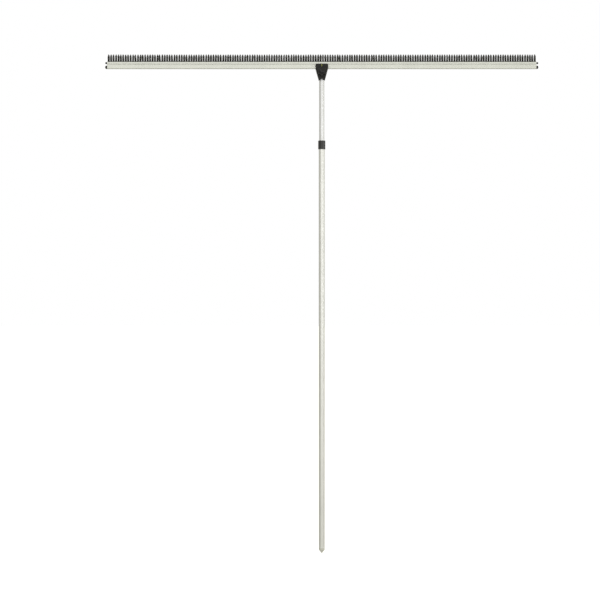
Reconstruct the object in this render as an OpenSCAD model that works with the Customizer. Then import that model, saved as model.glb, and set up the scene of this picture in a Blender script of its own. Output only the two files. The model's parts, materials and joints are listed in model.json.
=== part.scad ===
// Wide T-shaped window cleaning tool: a bristle strip in an aluminium rail, clamped by a star knob
// to a bracket on a two-part telescopic pole with a twist lock.
// Frame: Z runs up the pole, X along the rail, and the knob faces -Y.
// Origin: on the pole's axis, at the lower end of the outer tube.

/* [Pole] */
// Outside diameter of the lower, outer tube
outer_d = 25; // [25:0.5:28]
// Length of the outer tube
outer_len = 1669; // [1400:1:1800]
// Wall of both tubes
tube_wall = 1.2; // [1:0.1:1.3]
// Radial play between the two tubes
tube_play = 0.3; // [0.2:0.05:0.4]
// Length of the inner tube that shows between the collar and the bracket
shown_len = 251; // [20:1:900]
// Length of the conical tip below the outer tube
tip_h = 21; // [19:1:30]
// Depth of the fine grooves along the outer tube
groove_deep = 0.25; // [0.1:0.05:0.3]

/* [Twist lock] */
// Height of the collar
collar_h = 36; // [34:1:44]
// Thickness of the collar outside the outer tube
collar_out = 2.5; // [2.3:0.1:4]
// How far the collar climbs when it is unscrewed
collar_climb = 1.5; // [1:0.1:1.5]

/* [Bracket] */
// Width of the bracket at the rail
bracket_w = 51.6; // [48:0.2:60]
// Height of the bracket
bracket_h = 67; // [66:0.5:74]
// Width of the bracket at its foot
foot_w = 27; // [26:0.5:30]
// Depth of the bevel round the front and back faces
bevel = 2.8; // [1.5:0.1:3]
// Gap between the front jaw and the bracket body
jaw_gap = 1; // [0.6:0.1:1.5]
// Thickness of the jaw's plate
jaw_t = 7.5; // [6:0.5:9]

/* [Star knob] */
// Diameter over the lobes
knob_d = 38.2; // [36:0.2:42]
// Height of the knob
knob_h = 13; // [12:0.5:16]
// Diameter of the domed cap
cap_d = 24; // [20:0.5:24]
// Distance of the knob's axis below the top of the bracket
knob_drop = 33; // [32.5:0.1:34]

/* [Rail] */
// Length of the aluminium rail
rail_len = 1783; // [600:1:2000]
// Height of the rail
rail_h = 28.5; // [28:0.5:30]
// Depth of the rail's brush channel, front to back
rail_deep = 16; // [15.5:0.5:17]
// How far the end caps stand out
cap_out = 8.5; // [5:0.5:9]

/* [Bristles] */
// Number of tufts along the rail
tufts = 176; // [40:1:180]
// Length of the bristles above the backing strip
bristle_h = 29.8; // [15:0.1:50]
// Width of a tuft at its root, as a share of the tufts' pitch
tuft_share = 0.75; // [0.3:0.05:0.9]

/* [Hidden] */

// Colours
silver = [0.86, 0.86, 0.84];
pale_grey = [0.78, 0.78, 0.76];
black = [0.16, 0.16, 0.18];
gloss_black = [0.1, 0.1, 0.12];
steel = [0.62, 0.63, 0.65];
rubber_grey = [0.25, 0.25, 0.26];
marker = [0.72, 0.76, 0.15];

$fn = 64;
eps = 0.01;
sliding_gap = 0.05; // radial gap of the sliding fits

// Tubes
outer_r = outer_d / 2;
outer_bore = outer_r - tube_wall;
inner_r = outer_bore - tube_play;
inner_bore = inner_r - tube_wall;

// Heights, from the lower end of the outer tube
tube_in_collar = 12;
collar_z0 = outer_len - tube_in_collar;
neck_z0 = collar_z0 - 1; // the outer tube is turned down from here up
collar_z1 = collar_z0 + collar_h;
bracket_z0 = collar_z1 + shown_len;
bracket_z1 = bracket_z0 + bracket_h;
grip_h = 19.9; // height of the rail between the jaws
rail_z0 = bracket_z1 - grip_h;
rail_z1 = rail_z0 + rail_h;
knob_z = bracket_z1 - knob_drop;

// Twist lock
neck_r = outer_r - groove_deep - 0.05; // outer tube inside the sleeve, under the grooves
collar_r = outer_r + collar_out;
thread_r = outer_r + 1.1; // outside of the sleeve's thread
nut_r = thread_r + 0.15; // inside of the collar, clear of the thread
lip_h = 0.8;
roof_h = 4; // top of the collar, which presses on the wedge ring
wedge_h = 8;
wedge_z1 = collar_z1 - roof_h;
wedge_z0 = wedge_z1 - wedge_h;
finger_z0 = wedge_z0 - 4;
finger_z1 = wedge_z1 - 0.5;
finger_root_r = outer_r + 0.4;
finger_tip_r = outer_r - 0.2;
finger_play = 0.08;
ridge_groups = 6;
ridge_pitch = 8; // degrees between the fine ridges or grooves of one group
groove_pitch = 9;
groove_w = 0.7;
groove_turn = -20.5; // angle of the front group of grooves from straight ahead

// Bracket: depths from the pole's axis, front is negative
grip_gap = 0.15; // clearance between a jaw and the rail
box_deep = 14; // depth of the rail's lower box
grip_y = box_deep / 2 + grip_gap;
body_front = -14.5;
body_back = 15;
jaw_back = body_front - jaw_gap;
jaw_front = jaw_back - jaw_t;
corner = 2.6; // clipped top corners
socket_r = inner_r + sliding_gap;
socket_top = knob_z - 9.5;
arch_r = 11.3;
arch_drop = 6.8;
stud_r = 4;
stud_hole_r = 4.4;
nut_hole_r = stud_r + 0.08;
nut_af = 13;
nut_t = 6.5;
spring_r = 5.4;
spring_wire = 0.6;
spring_turns = 4;
pocket_r = 7;
pocket_deep = 6;
pad_t = 1.6;
pad_w = 42;
pad_z = rail_z0 + 2.5;
pad_h = 12.5;
screw_zs = [bracket_z0 + 7, bracket_z0 + 17];
screw_r = 1.9;
screw_head_r = 3.8;
screw_head_h = 2.2;

// Inner tube
inner_z1 = socket_top - 0.2;
inner_len = outer_len - 18;
inner_z0 = inner_z1 - inner_len;
bush_h = 14;
bush_plug = 22;

// Knob
washer_t = 1.6;
washer_r = 8.4;
knob_y = jaw_front - washer_t; // underside of the knob's hub
lobes = 6;
lobe_cut_r = 6;
valley_r = knob_d / 2 - 4.7;
cap_seat = 2; // depth of the cap's seat
head_af = 13;
head_t = 5.3;
head_y = knob_y - knob_h + cap_seat; // outer end of the stud's hexagonal head

// Rail section, heights from the rail's underside
box_h = 16.7;
neck_deep = 8; // what is left of the depth behind the groove that the jaw lips hook into
channel_z = 20.2;
rail_wall = 1.5;
lip_z = 17.2;
lip_y = neck_deep / 2 + 0.3;
slot_z = channel_z + 1.6;
slot_h = 5.2;
slot_deep = 11;
mouth_deep = 7;
backing_play = 0.2;
backing_up = 3; // backing above the rail
backing_short = 1; // the backing stops this far inside each end of the rail
tuft_z0 = rail_z1 + backing_up;
tuft_pitch = (rail_len - 2 * backing_short) / tufts;
tuft_w = tuft_share * tuft_pitch;
tuft_deep = 5;
tuft_tip_w = 0.55 * tuft_w;
root_band = 1;
cap_r = 7;
plug_r = 4;
plug_out = cap_out - 0.3;
plug_z = rail_z0 + slot_z + slot_h / 2;
plug_pin_r = 1.6;
plug_pin_len = 12;

// ---------- helpers ----------

// A cylinder along Y from y0 to y1
module y_rod(r, y0, y1, z, x = 0) {
    translate([x, y1, z]) rotate([90, 0, 0]) cylinder(r = r, h = y1 - y0);
}

// A ring about Z
module ring(r_in, r_out, z0, z1) {
    translate([0, 0, z0]) difference() {
        cylinder(r = r_out, h = z1 - z0);
        translate([0, 0, -eps]) cylinder(r = r_in, h = z1 - z0 + 2 * eps);
    }
}

// Front outline of the bracket, as X and Z
function bracket_outline() = [
    [-foot_w / 2 + 1, bracket_z0], [foot_w / 2 - 1, bracket_z0],
    [foot_w / 2, bracket_z0 + 3], [bracket_w / 2, rail_z0],
    [bracket_w / 2, bracket_z1 - corner], [bracket_w / 2 - corner, bracket_z1],
    [-bracket_w / 2 + corner, bracket_z1], [-bracket_w / 2, bracket_z1 - corner],
    [-bracket_w / 2, rail_z0], [-foot_w / 2, bracket_z0 + 3]
];

// The bracket's outline as a plate from y0 to y1
module bracket_plate(y0, y1) {
    translate([0, y1, 0]) rotate([90, 0, 0])
        linear_extrude(y1 - y0) polygon(bracket_outline());
}

// The same plate with a bevel round its face at depth y_face; the other face is at y_flat
module bevelled_plate(y_face, y_flat) {
    inward = sign(y_flat - y_face);
    shoulder = y_face + inward * bevel;
    skin = y_face + inward * eps;
    hull() {
        bracket_plate(min(shoulder, y_flat), max(shoulder, y_flat));
        translate([0, max(y_face, skin), 0]) rotate([90, 0, 0])
            linear_extrude(eps) offset(delta = -bevel) polygon(bracket_outline());
    }
}

// Arched notch at the bracket's foot, from y0 to y1
module foot_arch(y0, y1) {
    y_rod(arch_r, y0, y1, bracket_z0 - arch_drop);
}

// ---------- pole ----------

module outer_tube() {
    color(silver) difference() {
        linear_extrude(outer_len) difference() {
            circle(outer_r);
            circle(outer_bore);
            for (group = [0 : ridge_groups - 1], i = [-1 : 1])
                rotate(groove_turn - 90 + group * 360 / ridge_groups + i * groove_pitch)
                    translate([outer_r - groove_deep, -groove_w / 2])
                        square([groove_deep + 1, groove_w]);
        }
        ring(neck_r, outer_r + 1, neck_z0, outer_len + 1);
    }
}

// Points on an arc about [x, z], in equal steps of angle
function arc_points(x, z, r, from, to, steps) = [
    for (i = [0 : steps])
        let (a = from + (to - from) * i / steps) [x + r * cos(a), z + r * sin(a)]
];

module end_tip() {
    tip_r = outer_r - 0.1;
    nose_r = 1.6;
    shoulder_r = 4;
    cone_turn = 39; // angle between the cone's side and the axis
    plug_r = outer_bore - 0.02;
    plug_bore = plug_r - 3;
    plug_h = 30;
    plug_floor = 6;
    // the cone's side is tangent to the nose and to the shoulder
    nose_z = -tip_h + nose_r;
    reach = shoulder_r - nose_r + cos(cone_turn) * (tip_r - shoulder_r);
    shoulder_z = nose_z + reach / sin(cone_turn);
    color(pale_grey) rotate_extrude() polygon(concat(
        [
            [0, plug_floor], [plug_bore, plug_floor], [plug_bore, plug_h],
            [plug_r - 1.5, plug_h], [plug_r, plug_h - 3], [plug_r, 0], [tip_r, 0]
        ],
        arc_points(tip_r - shoulder_r, shoulder_z, shoulder_r, 0, -cone_turn, 4),
        arc_points(0, nose_z, nose_r, -cone_turn, -90, 4)
    ));
}

module collet_sleeve() {
    slot_w = 1.4;
    slot_z = finger_z0 - 4;
    color(black) difference() {
        union() {
            ring(neck_r, thread_r, collar_z0 + lip_h + collar_climb + 0.1, outer_len);
            ring(inner_r + sliding_gap, thread_r, outer_len, finger_z0);
            difference() {
                translate([0, 0, finger_z0]) cylinder(
                    r1 = finger_root_r, r2 = finger_tip_r, h = finger_z1 - finger_z0
                );
                translate([0, 0, finger_z0 - eps])
                    cylinder(r = inner_r + sliding_gap, h = finger_z1 - finger_z0 + 2 * eps);
            }
        }
        for (turn = [0, 90])
            rotate(turn + 45) translate([-outer_d, -slot_w / 2, slot_z])
                cube([2 * outer_d, slot_w, collar_h]);
    }
}

module wedge_ring() {
    slope = (finger_tip_r - finger_root_r) / (finger_z1 - finger_z0);
    low_r = finger_root_r + slope * (wedge_z0 - finger_z0) + finger_play;
    high_r = low_r + slope * wedge_h;
    color(pale_grey) difference() {
        translate([0, 0, wedge_z0]) cylinder(r = thread_r, h = wedge_h);
        translate([0, 0, wedge_z0 - eps])
            cylinder(r1 = low_r, r2 = high_r, h = wedge_h + 2 * eps);
    }
}

module twist_collar() {
    ridge_r = 0.55;
    soft = 0.8; // bevel at both ends
    color(gloss_black) difference() {
        union() {
            translate([0, 0, collar_z0])
                cylinder(r1 = collar_r - soft, r2 = collar_r, h = soft);
            translate([0, 0, collar_z0 + soft])
                cylinder(r = collar_r, h = collar_h - 2 * soft);
            translate([0, 0, collar_z1 - soft])
                cylinder(r1 = collar_r, r2 = collar_r - soft, h = soft);
            for (group = [0 : ridge_groups - 1], i = [-1 : 1])
                rotate(group * 360 / ridge_groups + i * ridge_pitch - 90)
                    translate([collar_r - 0.1, 0, collar_z0 + 2])
                        cylinder(r = ridge_r, h = collar_h - 4, $fn = 16);
        }
        translate([0, 0, collar_z0 - eps]) cylinder(r = outer_r + 0.3, h = lip_h + 1);
        translate([0, 0, collar_z0 + lip_h])
            cylinder(r = nut_r, h = wedge_z1 - collar_z0 - lip_h);
        translate([0, 0, wedge_z1 - 1]) cylinder(r = inner_r + 0.5, h = roof_h + 2);
    }
}

// ---------- mast: inner tube and bracket ----------

module inner_tube() {
    color(silver) difference() {
        ring(inner_bore, inner_r, inner_z0, inner_z1);
        for (z = screw_zs) y_rod(screw_r, 0, body_back, z);
        translate([-outer_d, 0, inner_z0 + bush_plug / 2]) rotate([0, 90, 0])
            cylinder(r = 1.5, h = 2 * outer_d);
    }
}

module glide_bush() {
    color(black) difference() {
        union() {
            translate([0, 0, inner_z0 - bush_h])
                cylinder(r = outer_bore - sliding_gap, h = bush_h);
            translate([0, 0, inner_z0 - eps])
                cylinder(r = inner_bore, h = bush_plug);
        }
        translate([0, 0, inner_z0 - bush_h - eps])
            cylinder(r = inner_bore - 3, h = bush_h + bush_plug + 1);
        translate([-outer_d, 0, inner_z0 + bush_plug / 2]) rotate([0, 90, 0])
            cylinder(r = 1.5, h = 2 * outer_d);
    }
}

module bush_rivet() {
    color(steel) translate([-inner_r, 0, inner_z0 + bush_plug / 2]) rotate([0, 90, 0])
        cylinder(r = 1.5, h = 2 * inner_r);
}

module bracket_body() {
    rib_w = 2;
    color(black) difference() {
        bevelled_plate(body_back, body_front);
        // seat for the rail, open to the front and to both sides
        translate([-bracket_w, body_front - 1, rail_z0])
            cube([2 * bracket_w, grip_y - body_front + 1, lip_z]);
        translate([-bracket_w, body_front - 1, rail_z0 + lip_z - eps])
            cube([2 * bracket_w, lip_y - body_front + 1, grip_h]);
        // tube socket, and the arch in front of it
        translate([0, 0, bracket_z0 - 1]) cylinder(r = socket_r, h = socket_top - bracket_z0 + 1);
        foot_arch(body_front - 1, 0);
        // stud hole, with the spring's pocket in front and the nut's pocket behind
        y_rod(stud_hole_r, body_front - 1, body_back + 1, knob_z);
        y_rod(pocket_r, body_front - 1, body_front + pocket_deep, knob_z);
        translate([0, body_back + 1, knob_z]) rotate([90, 0, 0])
            cylinder(d = nut_af / cos(30), h = nut_t + 1, $fn = 6);
        for (z = screw_zs) {
            y_rod(screw_r, 0, body_back + 1, z);
            y_rod(screw_head_r + 0.2, body_back - screw_head_h, body_back + 1, z);
        }
        // lightening slots either side of the nut
        for (side = [-1, 1], i = [0 : 1])
            translate([side * (12.5 + i * 4.5) - rib_w / 2, body_back - 3, rail_z0 - 10 + i * 4])
                cube([rib_w, 4, 24 - i * 6]);
        translate([-pad_w / 2, grip_y - 1, pad_z]) cube([pad_w, pad_t + 1, pad_h]);
    }
}

// Rubber pad that lines one jaw: side is -1 at the front and 1 at the back
module grip_pad(side) {
    color(rubber_grey) translate([-pad_w / 2, side > 0 ? grip_y : -grip_y - pad_t, pad_z])
        cube([pad_w, pad_t, pad_h]);
}

module back_pad() { grip_pad(1); }

// Hexagonal block from Z 0 to h, chamfered round its far face
module hex_block(across, h) {
    face_r = 0.48 * across;
    intersection() {
        cylinder(d = across / cos(30), h = h, $fn = 6);
        cylinder(r1 = face_r + h * tan(60), r2 = face_r, h = h);
    }
}

module clamp_nut() {
    color(steel) difference() {
        translate([0, body_back - nut_t, knob_z]) rotate([-90, 0, 0]) hex_block(nut_af, nut_t);
        y_rod(nut_hole_r, body_back - nut_t - 1, body_back + 1, knob_z);
    }
}

module tube_screws() {
    color(steel) for (z = screw_zs) difference() {
        union() {
            y_rod(screw_r, 8, body_back - screw_head_h, z);
            y_rod(screw_head_r, body_back - screw_head_h, body_back - 0.2, z);
        }
        for (turn = [0, 90])
            translate([0, body_back, z]) rotate([0, turn + 45, 0]) cube([4, 3, 0.9], center = true);
    }
}

// Centre line of the spring, t from 0 to 1 along it
function coil_point(t, y0, y1) = [
    spring_r * cos(360 * spring_turns * t),
    y0 + (y1 - y0) * t,
    spring_r * sin(360 * spring_turns * t)
];

module release_spring() {
    sides = 8;
    rings = spring_turns * 16;
    y0 = body_front + pocket_deep - spring_wire - 0.05;
    y1 = jaw_back + spring_wire + 0.05;
    points = [
        for (i = [0 : rings])
            let (c = coil_point(i / rings, y0, y1), turn = 360 * spring_turns * i / rings)
                for (k = [0 : sides - 1])
                    let (a = 360 * k / sides)
                        c + spring_wire * [cos(a) * cos(turn), sin(a), cos(a) * sin(turn)]
    ];
    faces = concat(
        [[for (k = [0 : sides - 1]) k]],
        [[for (k = [sides - 1 : -1 : 0]) rings * sides + k]],
        [
            for (i = [0 : rings - 1], k = [0 : sides - 1])
                let (a = i * sides + k, b = i * sides + (k + 1) % sides)
                    [b, a, a + sides, b + sides]
        ]
    );
    color(steel) translate([0, 0, knob_z]) polyhedron(points, faces);
}

// ---------- front jaw ----------

module front_jaw() {
    grip_foot = 1; // the grip block stays this far above the bracket's ledge
    color(black) difference() {
        union() {
            bevelled_plate(jaw_front, jaw_back);
            intersection() {
                bracket_plate(jaw_back - 1, -grip_y);
                translate([-bracket_w, jaw_back - 1, rail_z0 + grip_foot])
                    cube([2 * bracket_w, -jaw_back + 1 - grip_y, grip_h]);
            }
            translate([-bracket_w / 2 + corner, -grip_y - 1, rail_z0 + lip_z])
                cube([bracket_w - 2 * corner, grip_y - lip_y + 1, grip_h - lip_z]);
        }
        foot_arch(jaw_front - 1, jaw_back + 1);
        y_rod(stud_hole_r, jaw_front - 1, jaw_back + 1, knob_z);
        translate([-pad_w / 2, -grip_y - pad_t, pad_z]) cube([pad_w, pad_t + 1, pad_h]);
        centring_slot(0);
    }
}

module jaw_pad() { grip_pad(-1); }

// Slot for the mark, and the mark itself when it stands proud
module centring_slot(proud) {
    mark_w = 2.4;
    mark_h = 8.6;
    mark_deep = 1;
    translate([-mark_w / 2, jaw_front - proud, bracket_z1 - bevel - 0.3 - mark_h])
        cube([mark_w, mark_deep + proud, mark_h]);
}

module centring_mark() {
    color(marker) centring_slot(0.15);
}

module thrust_washer() {
    color(steel) difference() {
        y_rod(washer_r, knob_y, jaw_front, knob_z);
        y_rod(stud_hole_r, knob_y - 1, jaw_front + 1, knob_z);
    }
}

// ---------- star knob ----------

module star_knob() {
    hub_h = 2;
    edge = 0.8;
    color(black) difference() {
        translate([0, knob_y, knob_z]) rotate([90, 0, 0]) difference() {
            intersection() {
                union() {
                    cylinder(r = washer_r + 1, h = hub_h);
                    translate([0, 0, hub_h]) linear_extrude(knob_h - hub_h) difference() {
                        circle(d = knob_d);
                        for (i = [0 : lobes - 1])
                            rotate(i * 360 / lobes)
                                translate([valley_r + lobe_cut_r, 0]) circle(lobe_cut_r);
                    }
                }
                union() {
                    cylinder(d = knob_d, h = knob_h - edge);
                    translate([0, 0, knob_h - edge])
                        cylinder(r1 = knob_d / 2, r2 = knob_d / 2 - edge, h = edge);
                }
            }
            translate([0, 0, knob_h - cap_seat]) cylinder(d = cap_d + 0.1, h = cap_seat + 1);
            translate([0, 0, knob_h - cap_seat - head_t])
                cylinder(d = head_af / cos(30), h = head_t + 1, $fn = 6);
        }
        y_rod(stud_r, knob_y - knob_h, knob_y + 1, knob_z);
    }
}

module knob_cap() {
    dome = 4;
    cap_r = cap_d / 2;
    dome_r = (cap_r * cap_r + dome * dome) / (2 * dome);
    color(gloss_black) translate([0, knob_y - knob_h + cap_seat, knob_z]) rotate([90, 0, 0]) {
        cylinder(r = cap_r, h = cap_seat);
        translate([0, 0, cap_seat]) intersection() {
            cylinder(r = cap_r, h = dome + 1);
            translate([0, 0, dome - dome_r]) sphere(dome_r);
        }
    }
}

module clamp_stud() {
    chamfer = 0.8;
    stud_end = body_back + 0.5;
    color(steel) {
        y_rod(stud_r, head_y + head_t - eps, stud_end - chamfer, knob_z);
        translate([0, stud_end - chamfer - eps, knob_z]) rotate([-90, 0, 0])
            cylinder(r1 = stud_r, r2 = stud_r - 0.6, h = chamfer + eps);
        translate([0, head_y + head_t, knob_z]) rotate([90, 0, 0])
            cylinder(d = head_af / cos(30), h = head_t, $fn = 6);
    }
}

// ---------- head ----------

// Extrudes a section drawn as Y and Z along the rail
module along_rail(length) {
    translate([-length / 2, 0, rail_z0]) rotate([90, 0, 90]) linear_extrude(length) children();
}

module head_rail() {
    foot_r = 2.5;
    inside = box_deep - 2 * rail_wall;
    color(silver) along_rail(rail_len) difference() {
        union() {
            translate([-box_deep / 2, foot_r]) square([box_deep, box_h - foot_r]);
            translate([-box_deep / 2 + foot_r, 0]) square([box_deep - 2 * foot_r, foot_r + 1]);
            for (side = [-1, 1])
                translate([side * (box_deep / 2 - foot_r), foot_r]) circle(foot_r);
            translate([-neck_deep / 2, box_h - 1]) square([neck_deep, channel_z - box_h + 2]);
            translate([-rail_deep / 2, channel_z]) square([rail_deep, rail_h - channel_z]);
        }
        translate([-inside / 2, rail_wall]) square([inside, box_h - 2 * rail_wall]);
        translate([-slot_deep / 2, slot_z]) square([slot_deep, slot_h]);
        translate([-mouth_deep / 2, slot_z]) square([mouth_deep, rail_h]);
    }
}

module brush_backing() {
    length = rail_len - 2 * backing_short;
    foot_z = slot_z + backing_play;
    foot_h = slot_h - 2 * backing_play;
    color(black) difference() {
        along_rail(length) {
            translate([-slot_deep / 2 + backing_play, foot_z])
                square([slot_deep - 2 * backing_play, foot_h]);
            translate([-mouth_deep / 2 + backing_play, foot_z])
                square([mouth_deep - 2 * backing_play, rail_h + backing_up - foot_z]);
        }
        for (side = [-1, 1])
            translate([side * length / 2, 0, plug_z]) rotate([0, 90, 0])
                cylinder(r = plug_pin_r, h = 2 * plug_pin_len, center = true);
    }
}

// Outline of tuft i, from its left root over its tip to its right root
function tuft_outline(i) =
    let (x = (i - (tufts - 1) / 2) * tuft_pitch, root = tuft_w / 2, tip = tuft_tip_w / 2)
        [[x - root, root_band], [x - tip, bristle_h], [x + tip, bristle_h], [x + root, root_band]];

// All the tufts stand on one thin band of roots, so they make one comb
module bristle_tufts() {
    half = tufts * tuft_pitch / 2;
    outline = concat(
        [[-half, 0]],
        [[-half, root_band]],
        [for (i = [0 : tufts - 1]) each tuft_outline(i)],
        [[half, root_band]],
        [[half, 0]]
    );
    color(black) translate([0, tuft_deep / 2, tuft_z0]) rotate([90, 0, 0])
        linear_extrude(tuft_deep) polygon(outline);
}

// Moves to one end of the rail, with Z pointing out of it: side is -1 at the left, 1 at the right
module at_rail_end(side, z) {
    color(black) translate([side * rail_len / 2, 0, z]) rotate([0, side * 90, 0]) children();
}

// A round nose that stands out of the rail's end
module nose(r, out) {
    round_r = 0.8 * min(r, out);
    cylinder(r = r, h = out - round_r);
    translate([0, 0, out - round_r]) rotate_extrude() intersection() {
        union() {
            square([r - round_r, round_r]);
            translate([r - round_r, 0]) circle(round_r);
        }
        square([r, round_r]);
    }
}

module rail_cap(side) {
    spigot_len = 14;
    spigot_y = box_deep - 2 * rail_wall - 0.1;
    spigot_z = box_h - 2 * rail_wall - 0.1;
    rise = box_h / 2 - cap_r; // of the spigot's centre above the nose's, which is level with the foot
    at_rail_end(side, rail_z0 + cap_r) {
        nose(cap_r, cap_out);
        translate([-side * rise - spigot_z / 2, -spigot_y / 2, -spigot_len])
            cube([spigot_z, spigot_y, spigot_len]);
    }
}

module channel_plug(side) {
    at_rail_end(side, plug_z) {
        nose(plug_r, plug_out);
        translate([0, 0, -plug_pin_len]) cylinder(r = plug_pin_r - 0.02, h = plug_pin_len);
    }
}

module rail_cap_left() { rail_cap(-1); }
module rail_cap_right() { rail_cap(1); }
module channel_plug_left() { channel_plug(-1); }
module channel_plug_right() { channel_plug(1); }

// ---------- nodes ----------

outer_tube();
end_tip();
collet_sleeve();
wedge_ring();
twist_collar();
inner_tube();
glide_bush();
bush_rivet();
bracket_body();
back_pad();
clamp_nut();
tube_screws();
release_spring();
front_jaw();
jaw_pad();
centring_mark();
thrust_washer();
star_knob();
knob_cap();
clamp_stud();
head_rail();
brush_backing();
bristle_tufts();
channel_plug_left();
channel_plug_right();
rail_cap_left();
rail_cap_right();
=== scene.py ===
"""The looks of a wide T-shaped cleaning tool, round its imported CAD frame. Lengths are in metres.

The CAD nodes hold every shape and size. This script gives them materials, rounds the edges of the
moulded and extruded ones, models the knob and its cap again with rounded edges, and grows real
filaments where the CAD has a plain comb of bristles.
"""

import json
import math
import random

import bmesh
import bpy
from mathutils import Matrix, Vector


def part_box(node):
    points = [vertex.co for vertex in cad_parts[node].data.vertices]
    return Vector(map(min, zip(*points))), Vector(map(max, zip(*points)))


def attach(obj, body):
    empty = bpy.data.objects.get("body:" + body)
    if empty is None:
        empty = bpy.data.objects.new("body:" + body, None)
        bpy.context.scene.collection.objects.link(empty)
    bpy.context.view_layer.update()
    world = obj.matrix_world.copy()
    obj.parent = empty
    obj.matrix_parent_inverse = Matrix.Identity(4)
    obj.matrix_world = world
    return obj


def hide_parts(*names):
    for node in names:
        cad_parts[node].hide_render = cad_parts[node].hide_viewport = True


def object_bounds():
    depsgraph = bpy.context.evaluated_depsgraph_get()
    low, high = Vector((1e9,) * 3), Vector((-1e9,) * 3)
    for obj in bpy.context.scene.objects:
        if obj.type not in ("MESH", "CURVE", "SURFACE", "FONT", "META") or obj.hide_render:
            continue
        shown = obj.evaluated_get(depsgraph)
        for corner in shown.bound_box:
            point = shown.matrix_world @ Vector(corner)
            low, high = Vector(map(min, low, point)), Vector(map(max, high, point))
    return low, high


MM = 0.001
TOUCHING = 1e-6  # corners closer than this are one

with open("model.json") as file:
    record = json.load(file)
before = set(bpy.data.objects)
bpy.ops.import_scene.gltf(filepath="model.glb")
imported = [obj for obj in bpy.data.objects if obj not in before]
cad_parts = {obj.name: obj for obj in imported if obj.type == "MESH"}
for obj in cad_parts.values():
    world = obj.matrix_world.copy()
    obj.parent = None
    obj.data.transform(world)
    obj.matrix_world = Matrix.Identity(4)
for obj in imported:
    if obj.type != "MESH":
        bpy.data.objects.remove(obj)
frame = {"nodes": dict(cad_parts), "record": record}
cad_low, cad_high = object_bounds()
body_of = {
    node: body
    for body, nodes in frame["record"]["behaviour"]["bodies"].items()
    for node in nodes
}


# ---------- node helpers ----------

def new_material(name, colour, roughness, metallic=0.0):
    """A Principled material with its plain values on the shader's own sockets."""
    material = bpy.data.materials.new(name)
    material.use_nodes = True
    shader = material.node_tree.nodes["Principled BSDF"]
    shader.inputs["Base Color"].default_value = (*colour, 1)
    shader.inputs["Roughness"].default_value = roughness
    shader.inputs["Metallic"].default_value = metallic
    material.diffuse_color = (*colour, 1)
    return material, material.node_tree, shader


def noise(tree, scale, detail=4.0, distortion=0.0):
    """Noise in the frame's own metres; scale is waves per metre along X, Y and Z."""
    place = tree.nodes.new("ShaderNodeTexCoord")
    mapping = tree.nodes.new("ShaderNodeMapping")
    mapping.inputs["Scale"].default_value = scale
    texture = tree.nodes.new("ShaderNodeTexNoise")
    texture.inputs["Scale"].default_value = 1
    texture.inputs["Detail"].default_value = detail
    texture.inputs["Distortion"].default_value = distortion
    tree.links.new(place.outputs["Object"], mapping.inputs["Vector"])
    tree.links.new(mapping.outputs["Vector"], texture.inputs["Vector"])
    return texture.outputs["Fac"]


def remap(tree, value, low, high, start=0.3, end=0.7):
    """Takes value from start..end to low..high."""
    node = tree.nodes.new("ShaderNodeMapRange")
    for socket, number in zip(("From Min", "From Max", "To Min", "To Max"), (start, end, low, high)):
        node.inputs[socket].default_value = number
    tree.links.new(value, node.inputs["Value"])
    return node.outputs["Result"]


def combine(tree, operation, first, second):
    """A Math node of two values, the second of which may be a plain number."""
    node = tree.nodes.new("ShaderNodeMath")
    node.operation = operation
    tree.links.new(first, node.inputs[0])
    if isinstance(second, (int, float)):
        node.inputs[1].default_value = second
    else:
        tree.links.new(second, node.inputs[1])
    return node.outputs["Value"]


def blend_colours(tree, factor, first, second):
    """From the first colour at factor 0 to the second at factor 1."""
    node = tree.nodes.new("ShaderNodeMix")
    node.data_type = "RGBA"
    colours = [socket for socket in node.inputs if socket.type == "RGBA"]
    colours[0].default_value = (*first, 1)
    colours[1].default_value = (*second, 1)
    tree.links.new(factor, node.inputs[0])
    return next(socket for socket in node.outputs if socket.type == "RGBA")


def bump(tree, shader, height, strength, distance):
    """Bends the shader's normal by the slope of height, a value that stands for distance metres."""
    node = tree.nodes.new("ShaderNodeBump")
    node.inputs["Strength"].default_value = strength
    node.inputs["Distance"].default_value = distance
    tree.links.new(height, node.inputs["Height"])
    tree.links.new(node.outputs["Normal"], shader.inputs["Normal"])


def shaded(colour, factor):
    """The colour made darker or lighter, with no channel past white."""
    return tuple(min(1, c * factor) for c in colour)


# ---------- materials ----------

def anodised(name, colour, along, roughness):
    """Satin anodised aluminium: fine die lines along one axis, cloudy sheen, a few rubbed marks."""
    material, tree, shader = new_material(name, colour, roughness, metallic=0.92)
    across_lines, along_lines = 1400, 3  # waves per metre
    stretched = [across_lines] * 3
    stretched[along] = along_lines
    lines = noise(tree, stretched, detail=5)
    clouds = noise(tree, (9, 9, 9), detail=3)
    rubbed = noise(tree, (60, 60, 60), detail=7, distortion=1.5)
    tint = blend_colours(tree, remap(tree, clouds, 0, 1), shaded(colour, 0.95), shaded(colour, 1.03))
    tree.links.new(tint, shader.inputs["Base Color"])
    gloss = combine(
        tree,
        "ADD",
        remap(tree, lines, roughness - 0.03, roughness + 0.03),
        remap(tree, rubbed, 0, 0.05, 0.45, 0.75),
    )
    tree.links.new(gloss, shader.inputs["Roughness"])
    bump(tree, shader, lines, 0.05, 0.02 * MM)
    return material


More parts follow.
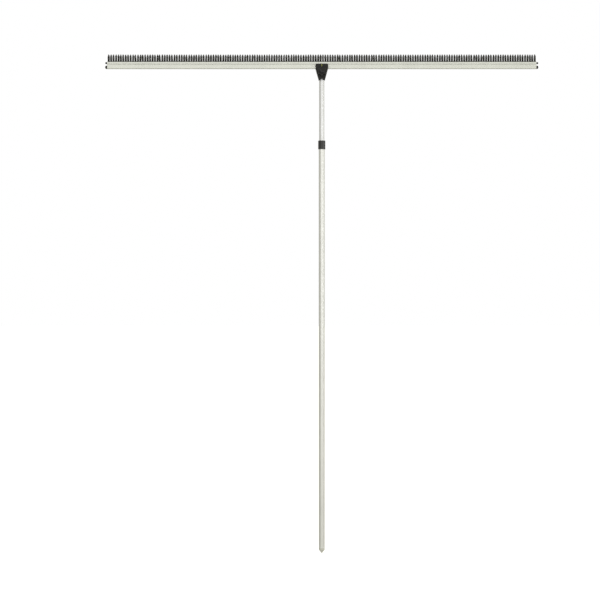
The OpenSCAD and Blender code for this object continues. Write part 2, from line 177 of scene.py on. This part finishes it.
def moulded(name, colour, roughness, grain=0.25, mottle=0.19):
    """Moulded plastic: fine spark-eroded grain, slow tone changes and faint flow marks."""
    material, tree, shader = new_material(name, colour, roughness)
    shader.inputs["Specular IOR Level"].default_value = 0.32
    fine = noise(tree, (2600, 2600, 2600), detail=2)
    tone = noise(tree, (70, 70, 70), detail=4, distortion=0.6)
    tint = blend_colours(
        tree, remap(tree, tone, 0, 1), shaded(colour, 1 - mottle), shaded(colour, 1 + mottle)
    )
    tree.links.new(tint, shader.inputs["Base Color"])
    tree.links.new(
        remap(tree, tone, roughness - 0.05, roughness + 0.07), shader.inputs["Roughness"]
    )
    bump(tree, shader, fine, grain, 0.08 * MM)
    return material


def polished(name, colour, roughness, specular=0.5, coat=0.6):
    """Polished black moulding: slight ripple, and hair scratches that break the highlight."""
    material, tree, shader = new_material(name, colour, roughness)
    shader.inputs["Specular IOR Level"].default_value = specular
    shader.inputs["Coat Weight"].default_value = coat
    shader.inputs["Coat Roughness"].default_value = 0.14
    ripple = noise(tree, (120, 120, 120), detail=2)
    scratches = noise(tree, (2200, 2200, 90), detail=6, distortion=0.4)
    tint = blend_colours(tree, remap(tree, ripple, 0, 1), shaded(colour, 0.85), shaded(colour, 1.2))
    tree.links.new(tint, shader.inputs["Base Color"])
    tree.links.new(
        remap(tree, scratches, roughness - 0.03, roughness + 0.09, 0.4, 0.75),
        shader.inputs["Roughness"],
    )
    bump(tree, shader, ripple, 0.05, 0.1 * MM)
    return material


def rubbery(name, colour):
    """Matte rubber with a dusty bloom in places."""
    material, tree, shader = new_material(name, colour, 0.7)
    shader.inputs["Specular IOR Level"].default_value = 0.3
    dusty = tuple(c + 0.025 for c in colour)
    bloom = noise(tree, (220, 220, 220), detail=5)
    fine = noise(tree, (1500, 1500, 1500), detail=3)
    tint = blend_colours(tree, remap(tree, bloom, 0, 1, 0.4, 0.8), colour, dusty)
    tree.links.new(tint, shader.inputs["Base Color"])
    tree.links.new(remap(tree, bloom, 0.6, 0.82), shader.inputs["Roughness"])
    bump(tree, shader, fine, 0.3, 0.1 * MM)
    return material


def plated(name, colour):
    """Zinc-plated steel: mottled, with faint yellow and blue tints."""
    material, tree, shader = new_material(name, colour, 0.3, metallic=1.0)
    yellowish, bluish = (0.62, 0.6, 0.53), (0.6, 0.64, 0.7)
    mottle = noise(tree, (420, 420, 420), detail=5, distortion=0.8)
    tint = blend_colours(tree, remap(tree, mottle, 0, 1), yellowish, bluish)
    tree.links.new(tint, shader.inputs["Base Color"])
    tree.links.new(remap(tree, mottle, 0.22, 0.4), shader.inputs["Roughness"])
    bump(tree, shader, mottle, 0.08, 0.05 * MM)
    return material


def filament(name, colour):
    """Stiff dark monofilament: each strand has its own tone, and the tips are rubbed paler."""
    material, tree, shader = new_material(name, colour, 0.42)
    shader.inputs["Specular IOR Level"].default_value = 0.35
    strand = noise(tree, (900, 900, 6), detail=3)
    tip_z = cad_high.z
    pale_length = 9 * MM
    place = tree.nodes.new("ShaderNodeTexCoord")
    split = tree.nodes.new("ShaderNodeSeparateXYZ")
    tree.links.new(place.outputs["Object"], split.inputs["Vector"])
    tip = remap(tree, split.outputs["Z"], 0, 0.35, tip_z - pale_length, tip_z)
    pale = combine(tree, "ADD", remap(tree, strand, 0, 0.7), tip)
    rubbed = tuple(c * 1.6 + 0.012 for c in colour)
    tint = blend_colours(tree, pale, shaded(colour, 0.7), rubbed)
    tree.links.new(tint, shader.inputs["Base Color"])
    tree.links.new(remap(tree, strand, 0.34, 0.55), shader.inputs["Roughness"])
    bump(tree, shader, strand, 0.2, 0.05 * MM)
    return material


# the axis number that the die lines of an aluminium part run along
ALONG_X, ALONG_Z = 0, 2
BLACK = (0.0135, 0.0135, 0.0135)

materials = {
    "tube_aluminium": anodised("tube_aluminium_look", (0.87, 0.87, 0.865), ALONG_Z, 0.4),
    "rail_aluminium": anodised("rail_aluminium_look", (0.725, 0.735, 0.705), ALONG_X, 0.45),
    "grey_plastic": moulded("grey_plastic_look", (0.67, 0.67, 0.63), 0.4, grain=0.15, mottle=0.05),
    "black_nylon": moulded("black_nylon_look", BLACK, 0.52),
    "gloss_plastic": polished("gloss_plastic_look", (0.01, 0.01, 0.012), 0.24),
    "marker_plastic": moulded("marker_plastic_look", (0.38, 0.4, 0.06), 0.45, grain=0.1, mottle=0.08),
    "rubber": rubbery("rubber_look", (0.025, 0.025, 0.025)),
    "steel": plated("steel_look", (0.6, 0.62, 0.63)),
    "bristle": filament("bristle_look", (0.058, 0.057, 0.05)),
}
# these two differ a little from the rest of their slot: a more neutral tube, and a cap painted darker
# and made less glossy, its darker colour being painted shade on the dome
own_looks = {
    "inner_tube": anodised("inner_tube_look", (0.865, 0.868, 0.905), ALONG_Z, 0.4),
    "knob_cap": polished("knob_cap_look", (0.005, 0.005, 0.007), 0.22, specular=0.25, coat=0.3),
}
# the rounded edges of these slots are painted paler and smoother: partly wear rubbed by hands, partly
# a painted highlight along the edges
worn_and_highlit_edge_looks = {
    "black_nylon": moulded("black_nylon_worn_highlit_edge_look", shaded(BLACK, 2.4), 0.36, grain=0.1),
}
slot_of = {part["node"]: part["material_slot"] for part in frame["record"]["subparts"]}


def look_of(node):
    """The material of one CAD node: its own, or else its slot's."""
    return own_looks.get(node, materials[slot_of[node]])


for name, node in frame["nodes"].items():
    for place in node.material_slots:
        place.material = look_of(name)


# ---------- pieces ----------

def give_looks(mesh, node):
    """The node's own material, and after it the one for its rounded edges, which for black nylon is
    painted paler as painted highlight and wear.
    """
    mesh.materials.append(look_of(node))
    if slot_of[node] in worn_and_highlit_edge_looks:
        mesh.materials.append(worn_and_highlit_edge_looks[slot_of[node]])


def add_piece(name, mesh, node):
    """Puts a finished mesh on the body of the CAD node that it replaces."""
    piece = bpy.data.objects.new(name, mesh)
    bpy.context.scene.collection.objects.link(piece)
    if not mesh.materials:
        give_looks(mesh, node)
    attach(piece, body_of[node])
    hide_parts(node)


def joined_copy(node):
    """The CAD node's mesh with its corners joined and its flat faces whole.

    It is cut along its two middle planes, so that no face goes all round a hole: a bevel
    can't follow such a face.
    """
    source = frame["nodes"][node].data
    mesh = bpy.data.meshes.new(node + "_smooth")
    mesh.from_pydata([v.co[:] for v in source.vertices], [], [p.vertices[:] for p in source.polygons])
    work = bmesh.new()
    work.from_mesh(mesh)
    bmesh.ops.remove_doubles(work, verts=work.verts, dist=TOUCHING)
    low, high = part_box(node)
    for normal in ((1, 0, 0), (0, 1, 0)):
        cut = bmesh.ops.bisect_plane(
            work,
            geom=work.verts[:] + work.edges[:] + work.faces[:],
            dist=TOUCHING,
            plane_co=(low + high) / 2,
            plane_no=normal,
        )
        for part in cut["geom_cut"]:
            if isinstance(part, bmesh.types.BMEdge):
                part.seam = True
    bmesh.ops.dissolve_limit(
        work, angle_limit=math.radians(0.1), verts=work.verts, edges=work.edges, delimit={"SEAM"}
    )
    bmesh.ops.recalc_face_normals(work, faces=work.faces)
    work.to_mesh(mesh)
    work.free()
    return mesh


def soften(node, radius, segments=2, sharp=30):
    """Replaces a CAD node by a copy whose sharp edges are rounded to a small radius."""
    mesh = joined_copy(node)
    give_looks(mesh, node)
    for face in mesh.polygons:
        face.use_smooth = True
    carrier = bpy.data.objects.new("carrier", mesh)
    bpy.context.scene.collection.objects.link(carrier)
    rounder = carrier.modifiers.new("round", "BEVEL")
    rounder.width = radius
    rounder.segments = segments
    rounder.limit_method = "ANGLE"
    rounder.angle_limit = math.radians(sharp)
    rounder.use_clamp_overlap = True
    # the rounded edges take the last material, for black nylon the one painted paler as painted
    # highlight and wear
    rounder.material = len(mesh.materials) - 1
    # the flat faces keep flat normals, and only the rounded edges turn
    even = carrier.modifiers.new("even", "WEIGHTED_NORMAL")
    even.weight = 90
    view = bpy.context.evaluated_depsgraph_get()
    rounded = bpy.data.meshes.new_from_object(
        carrier.evaluated_get(view), preserve_all_data_layers=True, depsgraph=view
    )
    bpy.data.objects.remove(carrier)
    add_piece(node + "_rounded", rounded, node)


def lofted(rings, joined=False):
    """A closed mesh through rings of points. A ring of one point is a pole; joined makes a loop."""
    work = bmesh.new()
    made = [[work.verts.new(point) for point in ring] for ring in rings]
    if joined:
        made.append(made[0])
    for near, far in zip(made, made[1:]):
        for k in range(max(len(near), len(far))):
            corners = [
                near[k % len(near)],
                near[(k + 1) % len(near)],
                far[(k + 1) % len(far)],
                far[k % len(far)],
            ]
            work.faces.new(list(dict.fromkeys(corners)))
    bmesh.ops.recalc_face_normals(work, faces=work.faces)
    mesh = bpy.data.meshes.new("lofted")
    work.to_mesh(mesh)
    work.free()
    for face in mesh.polygons:
        face.use_smooth = True
    mesh.set_sharp_from_angle(angle=math.radians(35))
    return mesh


def arc(centre, radius, start, end, steps):
    """The points of an arc in the XZ plane, from angle start to angle end, both included."""
    turns = [start + (end - start) * step / steps for step in range(steps + 1)]
    return [(centre[0] + radius * math.cos(a), centre[1] + radius * math.sin(a)) for a in turns]


# Shape of the star knob, as in the CAD node
LOBES = 6
VALLEY_DEEP = 4.7 * MM
VALLEY_R = 6 * MM
HUB_H = 2 * MM
HUB_LIP = 1 * MM  # of the hub past the washer
SEAT_GAP = 0.05 * MM  # round the cap
STUD_R = 4 * MM
STUD_HEAD = 5.3 * MM
# Its rounded edges
LOBE_CORNER = 1.3 * MM
FRONT_EDGE = 0.9 * MM
BACK_EDGE = 0.5 * MM
FINE_EDGE = 0.2 * MM
EDGE_STEPS = 6


def knob_outline(radius, inset):
    """The lobed outline moved inwards by inset, as (x, z) points round the knob's axis."""
    reach = radius - VALLEY_DEEP + VALLEY_R  # to the centre of a valley's circle
    far = radius - LOBE_CORNER  # to the centre of a lobe's corner
    near = VALLEY_R + LOBE_CORNER  # between those two centres
    across = math.acos((reach**2 + far**2 - near**2) / (2 * reach * far))
    opening = math.acos((reach**2 + near**2 - far**2) / (2 * reach * near))
    corner_r = LOBE_CORNER - inset
    corner_steps, valley_steps, crest_steps = 6, 18, 8
    sector = 2 * math.pi / LOBES
    points = []
    for lobe in range(LOBES):
        a = lobe * sector
        valley = (reach * math.cos(a), reach * math.sin(a))
        before = (far * math.cos(a - across), far * math.sin(a - across))
        after = (far * math.cos(a + across), far * math.sin(a + across))
        back = a + math.pi
        points += arc(before, corner_r, a - across, a + opening, corner_steps)
        points += arc(valley, VALLEY_R + inset, back + opening, back - opening, valley_steps)[1:-1]
        points += arc(after, corner_r, a - opening, a + across, corner_steps)
        points += arc((0, 0), radius - inset, a + across, a + sector - across, crest_steps)[1:-1]
    return points


def model_knob():
    """The six-lobed knob with rounded edges, its cap's seat and its pocket for the stud's head."""
    low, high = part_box("star_knob")
    cap_low, cap_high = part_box("knob_cap")
    stud_low, stud_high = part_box("clamp_stud")
    washer_low, washer_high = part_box("thrust_washer")
    middle = (low + high) / 2
    radius = (high.z - low.z) / 2
    seat_r = (cap_high.x - cap_low.x) / 2 + SEAT_GAP
    seat_y = cap_high.y
    head_half = (stud_high.z - stud_low.z) / 2
    hub_r = (washer_high.z - washer_low.z) / 2 + HUB_LIP
    angles = [math.atan2(z, x) for x, z in knob_outline(radius, 0)]

    def ring(outline, y):
        return [Vector((middle.x + x, y, middle.z + z)) for x, z in outline]

    def round_ring(r, y):
        return ring([(r * math.cos(a), r * math.sin(a)) for a in angles], y)

    def hexagon_ring(y):
        sector = 2 * math.pi / 6
        reach = [head_half / math.cos(a % sector - sector / 2) for a in angles]
        return ring([(r * math.cos(a), r * math.sin(a)) for r, a in zip(reach, angles)], y)

    rings = [
        round_ring(STUD_R, seat_y + STUD_HEAD),
        hexagon_ring(seat_y + STUD_HEAD),
        hexagon_ring(seat_y),
        round_ring(seat_r, seat_y),
        round_ring(seat_r, low.y + FINE_EDGE),
        round_ring(seat_r + FINE_EDGE, low.y),
    ]
    turns = [math.pi / 2 * step / EDGE_STEPS for step in range(EDGE_STEPS + 1)]
    for turn in turns:
        inset = FRONT_EDGE * (1 - math.sin(turn))
        depth = low.y + FRONT_EDGE * (1 - math.cos(turn))
        rings.append(ring(knob_outline(radius, inset), depth))
    for turn in turns:
        inset = BACK_EDGE * (1 - math.cos(turn))
        depth = high.y - HUB_H - BACK_EDGE * (1 - math.sin(turn))
        rings.append(ring(knob_outline(radius, inset), depth))
    rings += [
        round_ring(hub_r, high.y - HUB_H),
        round_ring(hub_r, high.y - FINE_EDGE),
        round_ring(hub_r - FINE_EDGE, high.y),
        round_ring(STUD_R, high.y),
    ]
    mesh = lofted(rings, joined=True)
    give_looks(mesh, "star_knob")
    edge_look = len(mesh.materials) - 1
    for face in mesh.polygons:
        # neither a flat front or back nor a side: part of a rounded edge, which gets the paler edge
        # material, painted highlight and wear
        if 0.2 < abs(face.normal.y) < 0.97:
            face.material_index = edge_look
    add_piece("star_knob_rounded", mesh, "star_knob")


def model_cap():
    """The polished cap: a shallow dome that rolls over into a short rim."""
    low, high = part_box("knob_cap")
    middle = (low + high) / 2
    radius = (high.x - low.x) / 2
    rim = 2 * MM
    dome = high.y - low.y - rim
    dome_r = (radius**2 + dome**2) / (2 * dome)
    roll = 0.35 * MM
    slope = math.asin((radius - roll) / (dome_r - roll))  # of the dome where the roll begins
    roll_y = low.y + dome_r - (dome_r - roll) * math.cos(slope)
    profile = [(radius - roll, high.y), (radius, high.y - roll)]
    for step in range(EDGE_STEPS):
        a = step / EDGE_STEPS * (math.pi / 2 - slope)
        profile.append((radius - roll + roll * math.cos(a), roll_y - roll * math.sin(a)))
    dome_steps = 28
    for step in range(dome_steps, 0, -1):
        a = slope * step / dome_steps
        profile.append((dome_r * math.sin(a), low.y + dome_r * (1 - math.cos(a))))
    sides = 96
    turns = [2 * math.pi * side / sides for side in range(sides)]
    rings = [[Vector((middle.x, high.y, middle.z))]]
    for r, y in profile:
        rings.append(
            [Vector((middle.x + r * math.cos(a), y, middle.z + r * math.sin(a))) for a in turns]
        )
    rings.append([Vector((middle.x, low.y, middle.z))])
    add_piece("knob_cap_domed", lofted(rings), "knob_cap")


# Shape of one filament
STRAND_R = 0.4 * MM
STRAND_THINS = 0.35  # of its radius, from root to tip
STRAND_SIDES = 4
STRAND_RINGS = 3


def add_strand(points, faces, root, tip, bow, twist):
    """Adds one bowed and tapered filament, closed at both ends, to the lists of a mesh."""
    first = len(points)
    for ring in range(STRAND_RINGS):
        t = ring / (STRAND_RINGS - 1)
        middle = root.lerp(tip, t) + bow * math.sin(math.pi * t)
        thick = STRAND_R * (1 - STRAND_THINS * t)
        for side in range(STRAND_SIDES):
            a = 2 * math.pi * side / STRAND_SIDES + twist
            points.append(middle + Vector((math.cos(a), math.sin(a), 0)) * thick)
    for ring in range(STRAND_RINGS - 1):
        for side in range(STRAND_SIDES):
            a = first + ring * STRAND_SIDES + side
            b = first + ring * STRAND_SIDES + (side + 1) % STRAND_SIDES
            faces.append((a, b, b + STRAND_SIDES, a + STRAND_SIDES))
    last = first + (STRAND_RINGS - 1) * STRAND_SIDES
    faces.append(tuple(first + side for side in reversed(range(STRAND_SIDES))))
    faces.append(tuple(last + side for side in range(STRAND_SIDES)))


def grow_bristles():
    """Every tuft as a bundle of stiff filaments that leans and thins out to a ragged point."""
    rng = random.Random(7)
    low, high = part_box("bristle_tufts")
    tufts = 176
    strands = 46
    golden_angle = 2.39996
    pitch = (high.x - low.x) / tufts
    half_w, half_y = 0.54 * pitch, (high.y - low.y) / 2  # neighbours' outer strands can just cross
    root_share = 0.8  # of those widths, at the root
    height = high.z - low.z
    points, faces = [], []
    for tuft in range(tufts):
        centre = low.x + (tuft + 0.5) * pitch
        lean = rng.gauss(0, 0.45 * MM)
        trim = rng.uniform(-0.7, 0) * MM
        for strand in range(strands):
            # spread over a disc as a sunflower's seeds are, a little denser at the middle
            reach = ((strand + 0.5) / strands) ** 0.65
            turn = strand * golden_angle + rng.uniform(-0.2, 0.2)
            u, v = reach * math.cos(turn), reach * math.sin(turn)
            root = Vector((centre + u * half_w * root_share, v * half_y * root_share, low.z))
            # the outer strands are shorter, which makes the tuft's point
            top = height * (1 - 0.34 * abs(u) ** 1.8 - rng.uniform(0, 0.04)) + trim
            closing = 1 - 0.16 * rng.uniform(0.4, 1.4)
            tip = Vector((
                centre + u * half_w * closing + lean + rng.gauss(0, 0.25 * MM),
                v * half_y * 0.95 * closing,
                low.z + top,
            ))
            bow = Vector((rng.gauss(0, 0.22 * MM), rng.gauss(0, 0.22 * MM), 0))
            add_strand(points, faces, root, tip, bow, twist=strand)
    mesh = bpy.data.meshes.new("bristles")
    mesh.from_pydata(points, [], faces)
    # a strand's walls are smooth, and its two ends are flat
    walls = STRAND_SIDES * (STRAND_RINGS - 1)
    for face in mesh.polygons:
        face.use_smooth = face.index % (walls + 2) < walls
    add_piece("bristles", mesh, "bristle_tufts")


# how far each node's sharp edges are rounded
SOFT_EDGES = {
    "bracket_body": 0.5 * MM,
    "front_jaw": 0.45 * MM,
    "twist_collar": 0.2 * MM,
    "head_rail": 0.35 * MM,
    "brush_backing": 0.25 * MM,
    "end_tip": 0.3 * MM,
    "rail_cap_left": 0.3 * MM,
    "rail_cap_right": 0.3 * MM,
}
for name, radius in SOFT_EDGES.items():
    soften(name, radius)
model_knob()
model_cap()
grow_bristles()


# ---------- floor, light and camera ----------

FLOOR_Z = cad_low.z
# what the picture shows of the plane through the pole
PICTURE_WIDTH = 2.494
PICTURE_CENTRE = Vector((-0.0904, 0, FLOOR_Z + 1.0519))
LENS, SENSOR = 100, 36
DISTANCE = PICTURE_WIDTH * LENS / SENSOR


def add_floor():
    """A wide floor at the height of the tip, bright enough to be pure white."""
    mesh = bpy.data.meshes.new("floor")
    work = bmesh.new()
    bmesh.ops.create_circle(work, cap_ends=True, segments=96, radius=60)
    work.to_mesh(mesh)
    work.free()
    floor = bpy.data.objects.new("floor", mesh)
    floor.location.z = FLOOR_Z
    bpy.context.scene.collection.objects.link(floor)
    material, _, shader = new_material("floor_look", (0.8, 0.8, 0.8), 0.8)
    shader.inputs["Specular IOR Level"].default_value = 0
    shader.inputs["Emission Color"].default_value = (1, 1, 1, 1)
    shader.inputs["Emission Strength"].default_value = 0.6
    mesh.materials.append(material)
    # the object is lit by the world below it too, so that the floor can be pure white
    floor.visible_glossy = False
    floor.visible_diffuse = False


def add_softbox(name, place, target, size, radiance):
    """A large rectangular light; radiance is how bright its face looks."""
    light = bpy.data.lights.new(name, "AREA")
    light.shape = "RECTANGLE"
    light.size, light.size_y = size
    light.energy = radiance * math.pi * size[0] * size[1]
    light.color = (1, 1, 1.04)  # slightly cool
    lamp = bpy.data.objects.new(name, light)
    lamp.location = place
    lamp.rotation_euler = (Vector(target) - Vector(place)).to_track_quat("-Z", "Y").to_euler()
    lamp.visible_camera = False
    bpy.context.scene.collection.objects.link(lamp)


def add_world():
    """White behind the object; for its light, a studio that is darker to the left and below."""
    world = bpy.data.worlds.new("studio")
    bpy.context.scene.world = world
    world.use_nodes = True
    tree = world.node_tree
    tree.nodes.clear()
    output = tree.nodes.new("ShaderNodeOutputWorld")
    choose = tree.nodes.new("ShaderNodeMixShader")
    seen = tree.nodes.new("ShaderNodeBackground")
    seen.inputs["Strength"].default_value = 1.0
    seen.inputs["Color"].default_value = (1, 1, 1, 1)
    light = tree.nodes.new("ShaderNodeBackground")
    place = tree.nodes.new("ShaderNodeTexCoord")
    split = tree.nodes.new("ShaderNodeSeparateXYZ")
    path = tree.nodes.new("ShaderNodeLightPath")
    tree.links.new(place.outputs["Generated"], split.inputs["Vector"])
    # the direction's X and Z each scale the strength, and the two are multiplied
    across = remap(tree, split.outputs["X"], 0.49, 0.745, -1, -0.25)
    upward = remap(tree, split.outputs["Z"], 0.75, 1.12, -0.45, 0.35)
    tree.links.new(combine(tree, "MULTIPLY", across, upward), light.inputs["Strength"])
    light.inputs["Color"].default_value = (1, 0.995, 0.875, 1)  # slightly warm
    tree.links.new(path.outputs["Is Camera Ray"], choose.inputs["Fac"])
    tree.links.new(light.outputs["Background"], choose.inputs[1])
    tree.links.new(seen.outputs["Background"], choose.inputs[2])
    tree.links.new(choose.outputs["Shader"], output.inputs["Surface"])


def add_camera():
    """A long lens, level and straight in front."""
    data = bpy.data.cameras.new("camera")
    data.lens, data.sensor_width = LENS, SENSOR
    camera = bpy.data.objects.new("camera", data)
    camera.location = PICTURE_CENTRE + Vector((0, -DISTANCE, 0))
    camera.rotation_euler = (math.radians(90), 0, 0)
    bpy.context.scene.collection.objects.link(camera)
    bpy.context.scene.camera = camera


add_floor()
add_world()
add_softbox("front", place=(0, -4.0, 1.5), target=(0, 0, 1.5), size=(3.6, 2.6), radiance=0.62)
add_softbox("right", place=(2.7, -2.0, 1.6), target=(0, 0, 1.6), size=(1.2, 1.9), radiance=1.3)
add_softbox("upper_left", place=(-1.7, -2.5, 3.6), target=(0, 0, 1.98), size=(1.8, 0.5), radiance=2.5)
add_camera()
bpy.context.scene.view_settings.view_transform = "Standard"
